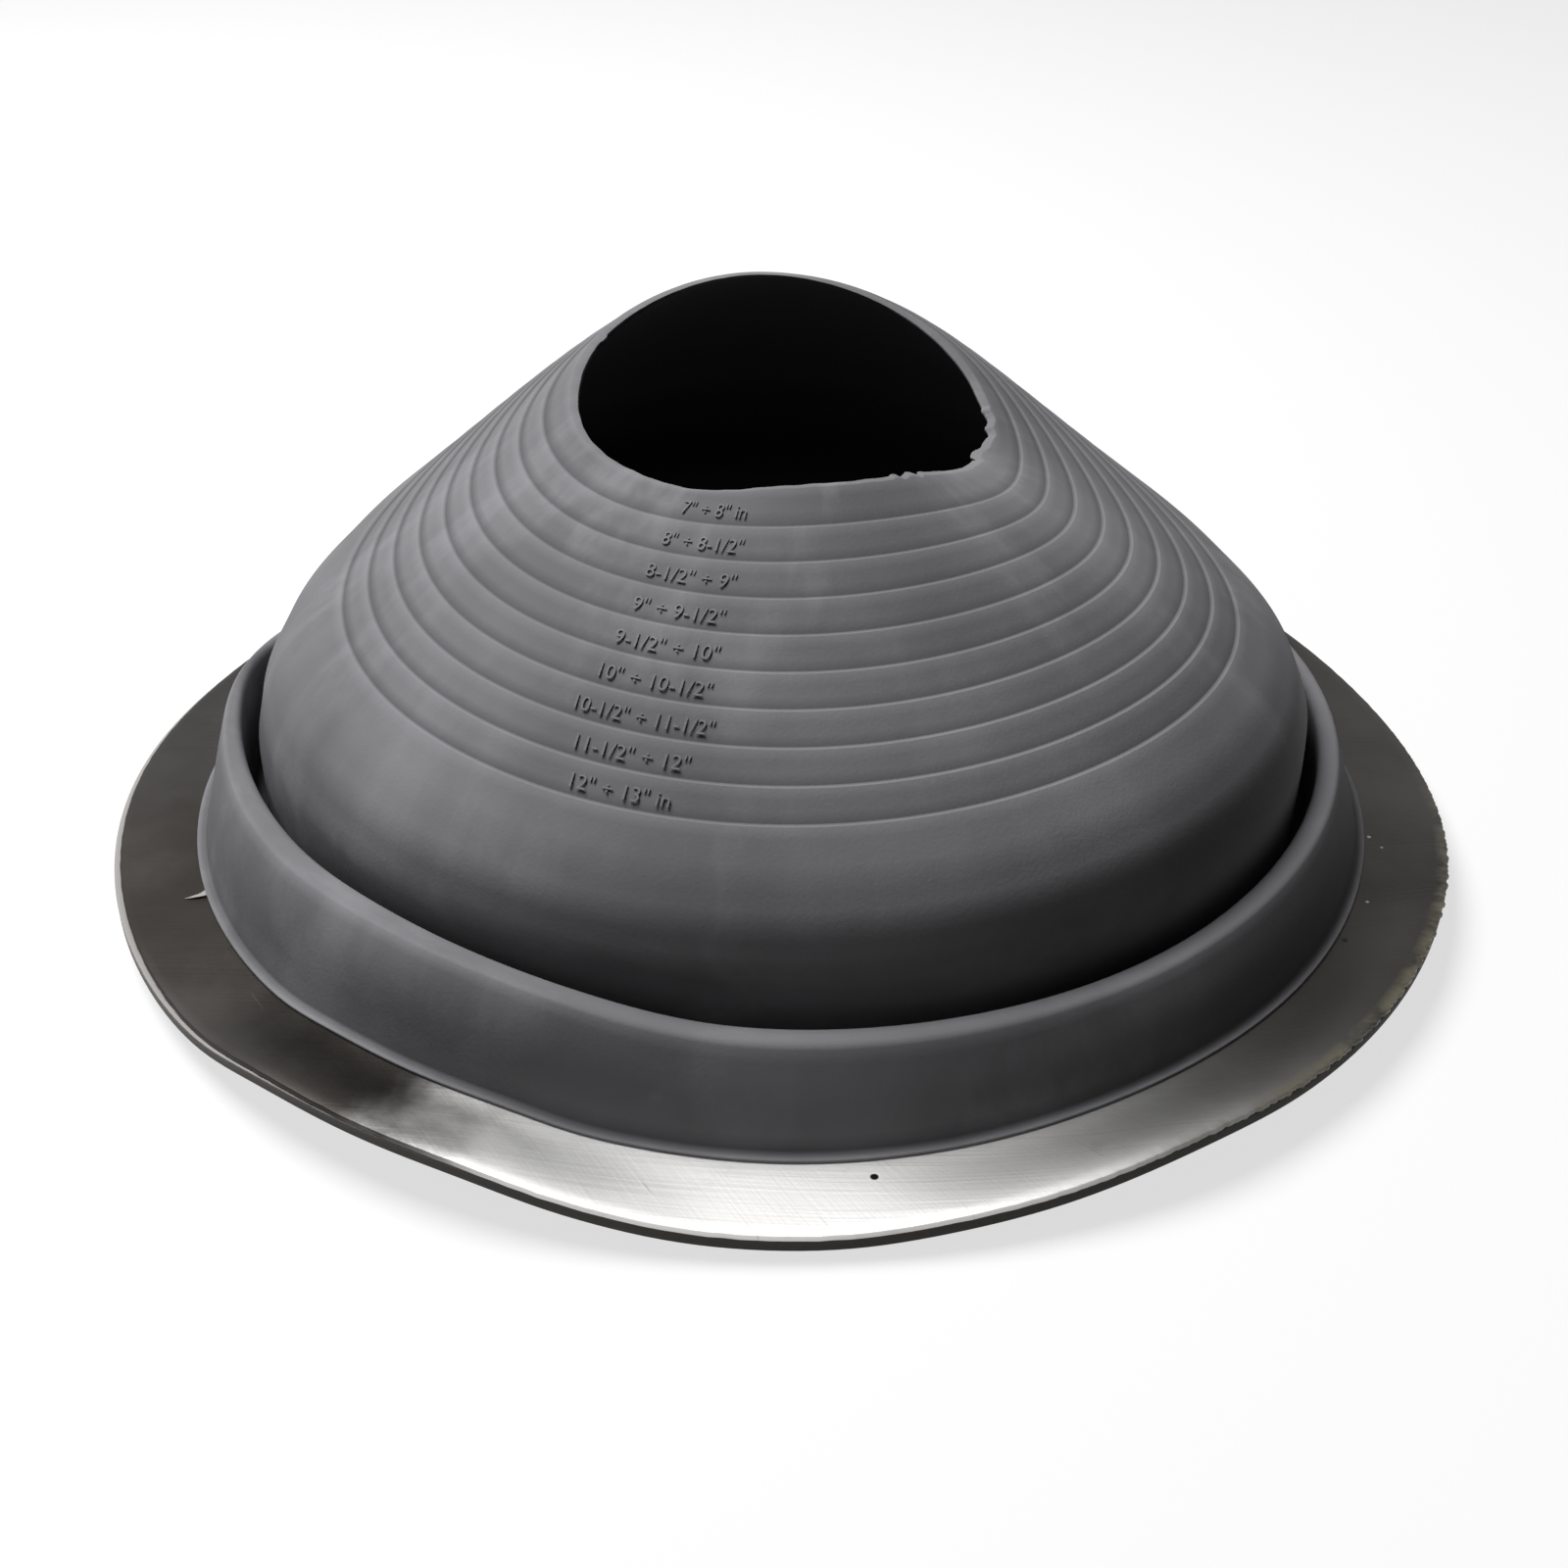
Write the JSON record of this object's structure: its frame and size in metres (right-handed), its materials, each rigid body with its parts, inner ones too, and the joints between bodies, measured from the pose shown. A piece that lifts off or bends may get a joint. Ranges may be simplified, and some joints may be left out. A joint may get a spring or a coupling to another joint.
{
  "type": "pipe flashing boot",
  "caption": "Round rubber roof boot that seals around a pipe: stepped cone, folding groove, raised collar and a flat base with a bonded aluminium ring.",
  "frame": {"origin": "centre of the base, in the plane of the sealing ribs that lie on the roof", "axes": "+Z square to the base, up through the pipe opening, -Y towards the front and +X to the right, which matter only for the way that the slack cone leans"},
  "size_m": [0.4379, 0.438, 0.1528],
  "materials": {
    "grey_rubber": "matte moulded rubber",
    "soft_aluminium": "satin rolled sheet, lightly scratched"
  },
  "bodies": {
    "root": {"rubber_boot": "grey_rubber", "aluminium_ring": "soft_aluminium"}
  },
  "joints": []
}
